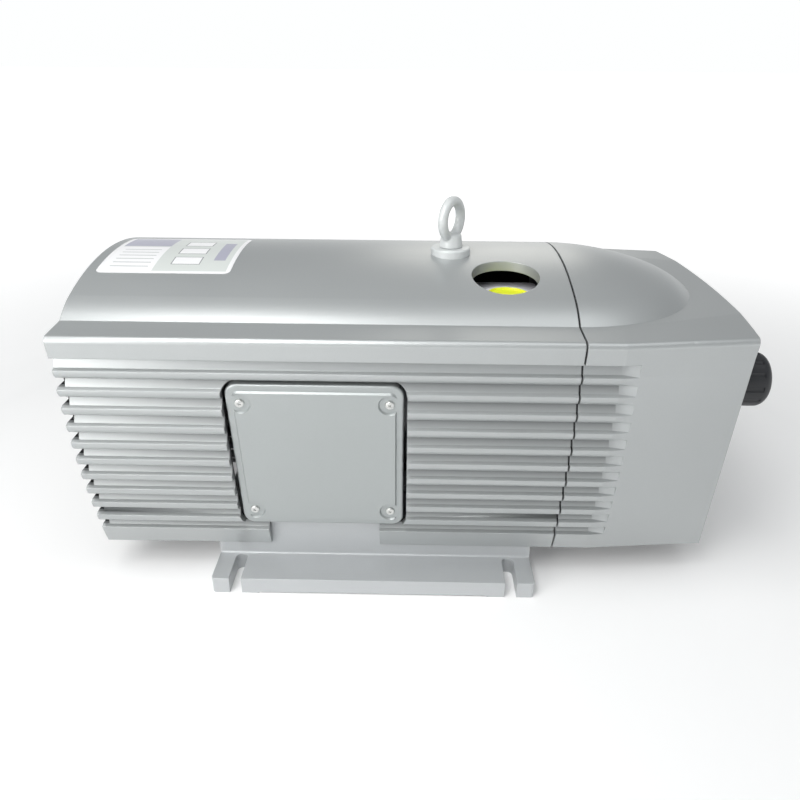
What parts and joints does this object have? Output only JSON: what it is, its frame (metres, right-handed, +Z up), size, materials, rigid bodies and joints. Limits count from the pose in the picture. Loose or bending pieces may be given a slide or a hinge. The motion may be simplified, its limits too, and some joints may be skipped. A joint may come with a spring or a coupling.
{
  "type": "dry rotary vane vacuum pump",
  "caption": "Dry rotary vane vacuum pump with a motor under a ribbed noise hood, side terminal box, round suction port under a cap, lifting eye, end regulator knob and a slotted foot.",
  "frame": {"origin": "middle of the foot's underside, between its four open slots", "axes": "+X along the shaft from the motor end to the regulator end, the terminal box on the -Y side, +Z up"},
  "size_m": [0.9165, 0.474, 0.512],
  "materials": {
    "hood_paint": "silver-grey metallic paint on a moulded shell",
    "foot_paint": "silver-grey metallic paint on a casting",
    "lid_paint": "silver-grey metallic paint",
    "cast_iron_pump": "cast, primed grey",
    "cast_aluminium": "cast, bare",
    "lifting_steel": "light grey",
    "zinc_steel": "zinc plated",
    "machined_steel": "machined",
    "spring_steel": "drawn wire",
    "core_steel": "stacked sheet",
    "cage_metal": "cast round a sheet pack",
    "winding_copper": "lacquered copper",
    "vane_carbon": "pressed carbon",
    "grey_plastic": "moulded, dark grey",
    "fan_plastic": "moulded",
    "board_plastic": "moulded",
    "seal_rubber": "soft, matt",
    "valve_plastic": "turned",
    "filter_media": "pleated fleece",
    "knob_plastic": "moulded, charcoal",
    "cap_yellow": "soft moulded, lemon yellow"
  },
  "bodies": {
    "casing": {"hood": "hood_paint", "end_cover": "hood_paint", "base_foot": "foot_paint", "terminal_lid": "lid_paint", "terminal_box": "lid_paint", "pump_cylinder": "cast_iron_pump", "rear_side_cover": "cast_iron_pump", "front_side_cover": "cast_iron_pump", "motor_housing": "cast_aluminium", "rear_shield": "cast_aluminium", "front_flange": "cast_aluminium", "lantern": "cast_aluminium", "filter_housing": "cast_aluminium", "filter_cap": "cast_aluminium", "regulator_body": "cast_aluminium", "suction_riser": "cast_aluminium", "lifting_eye": "lifting_steel", "lifting_washer": "lifting_steel", "terminal_screws": "zinc_steel", "grille_screws": "zinc_steel", "foot_bolts": "zinc_steel", "cover_bolts": "zinc_steel", "lifting_post": "zinc_steel", "motor_bearings": "machined_steel", "pump_bearings": "machined_steel", "valve_spring": "spring_steel", "regulator_spring": "spring_steel", "stator_core": "core_steel", "stator_windings": "winding_copper", "intake_grille": "grey_plastic", "fan_cowl": "grey_plastic", "cowl_guard": "grey_plastic", "fan_shroud": "grey_plastic", "cable_gland": "grey_plastic", "terminal_board": "board_plastic", "seam_seal": "seal_rubber", "terminal_gasket": "seal_rubber", "shaft_seals": "seal_rubber", "valve_spider": "valve_plastic", "exhaust_filter": "filter_media"},
    "drive": {"motor_shaft": "machined_steel", "cage_rotor": "cage_metal", "motor_fan": "fan_plastic", "coupling_motor_half": "machined_steel", "coupling_pump_half": "machined_steel", "coupling_spider": "seal_rubber", "pump_shaft": "machined_steel", "pump_rotor": "cast_iron_pump", "vanes": "vane_carbon", "cooling_fan": "fan_plastic"},
    "knob": {"regulator_knob": "knob_plastic", "regulator_spindle": "machined_steel"},
    "spring_plate": {"regulator_plate": "machined_steel"},
    "poppet": {"regulator_poppet": "valve_plastic"},
    "check_valve": {"valve_disc": "valve_plastic"},
    "port_cap": {"suction_cap": "cap_yellow"}
  },
  "joints": [
    {"name": "shaft_spin", "type": "hinge", "parent": "casing", "child": "drive", "pos_m": [0, 0, 0.215], "axis": [1, 0, 0], "continuous": true},
    {"name": "knob_turn", "type": "hinge", "parent": "casing", "child": "knob", "pos_m": [0.4815, -0.125, 0.292], "axis": [1, 0, 0], "range_deg": [-720, 720]},
    {"name": "spring_plate_travel", "type": "slide", "parent": "casing", "child": "spring_plate", "axis": [1, 0, 0], "range_m": [-0.0041, 0.0041], "deforming": ["regulator_spring"]},
    {"name": "poppet_lift", "type": "slide", "parent": "casing", "child": "poppet", "axis": [1, 0, 0], "range_m": [0, 0.005], "stiffness_N_per_m": 800, "springref_m": -0.004, "deforming": ["regulator_spring"]},
    {"name": "check_valve_drop", "type": "slide", "parent": "casing", "child": "check_valve", "axis": [0, 0, -1], "range_m": [0, 0.012], "stiffness_N_per_m": 250, "springref_m": -0.01, "deforming": ["valve_spring"]},
    {"name": "port_cap_lift", "type": "slide", "parent": "casing", "child": "port_cap", "axis": [0, 0, 1], "range_m": [0, 0.15]}
  ],
  "couplings": [
    {"joint": "spring_plate_travel", "follows": "knob_turn", "m_per_rad": 0.00031831}
  ]
}
